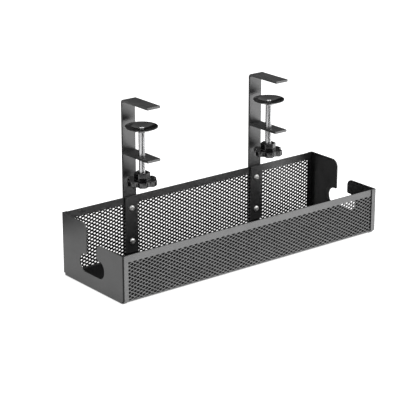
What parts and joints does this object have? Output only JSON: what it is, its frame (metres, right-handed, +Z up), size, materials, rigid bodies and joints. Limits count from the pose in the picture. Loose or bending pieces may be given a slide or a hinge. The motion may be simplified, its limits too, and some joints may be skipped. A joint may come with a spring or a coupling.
{
  "type": "under-desk cable tray",
  "caption": "Perforated steel cable tray with cut-out end plates, hung from hooked straps whose screw clamps grip the edge of a desk top without drilling.",
  "frame": {"origin": "middle of the bounding box, on the level of the tray's underside", "axes": "+X along the tray, -Y towards the user at the desk, +Z up; the clamps stand at the rear"},
  "size_m": [0.4, 0.1268, 0.204],
  "materials": {
    "black_powder_coat": "satin fine-grained black powder coat on sheet steel",
    "black_gloss_coat": "semi-gloss black coat on turned steel",
    "chromed_steel": "bright nickel-chrome plated thread",
    "bright_zinc_steel": "bright zinc plate",
    "black_plastic": "satin black moulded plastic"
  },
  "bodies": {
    "tray": {"tray_sheet": "black_powder_coat", "left_end_plate": "black_powder_coat", "right_end_plate": "black_powder_coat", "left_bracket": "black_powder_coat", "left_inner_plate": "black_powder_coat", "left_screw_lug": "black_powder_coat", "left_lower_bolt": "bright_zinc_steel", "left_upper_bolt": "bright_zinc_steel", "right_bracket": "black_powder_coat", "right_inner_plate": "black_powder_coat", "right_screw_lug": "black_powder_coat", "right_lower_bolt": "bright_zinc_steel", "right_upper_bolt": "bright_zinc_steel"},
    "left_pad": {"left_clamp_pad": "black_gloss_coat"},
    "left_screw": {"left_clamp_screw": "chromed_steel", "left_knob": "black_plastic"},
    "right_pad": {"right_clamp_pad": "black_gloss_coat"},
    "right_screw": {"right_clamp_screw": "chromed_steel", "right_knob": "black_plastic"}
  },
  "joints": [
    {"name": "left_pad_lift", "type": "slide", "parent": "tray", "child": "left_pad", "axis": [0, 0, 1], "range_m": [-0.0285, 0.018]},
    {"name": "left_screw_turn", "type": "hinge", "parent": "left_pad", "child": "left_screw", "pos_m": [-0.1, 0.0346, 0.1], "axis": [0, 0, 1], "range_deg": [-8208, 5184]},
    {"name": "right_pad_lift", "type": "slide", "parent": "tray", "child": "right_pad", "axis": [0, 0, 1], "range_m": [-0.0285, 0.018]},
    {"name": "right_screw_turn", "type": "hinge", "parent": "right_pad", "child": "right_screw", "pos_m": [0.1, 0.0346, 0.1], "axis": [0, 0, 1], "range_deg": [-8208, 5184]}
  ],
  "couplings": [
    {"joint": "left_screw_turn", "follows": "left_pad_lift", "rad_per_m": 5026.5},
    {"joint": "right_screw_turn", "follows": "right_pad_lift", "rad_per_m": 5026.5}
  ]
}
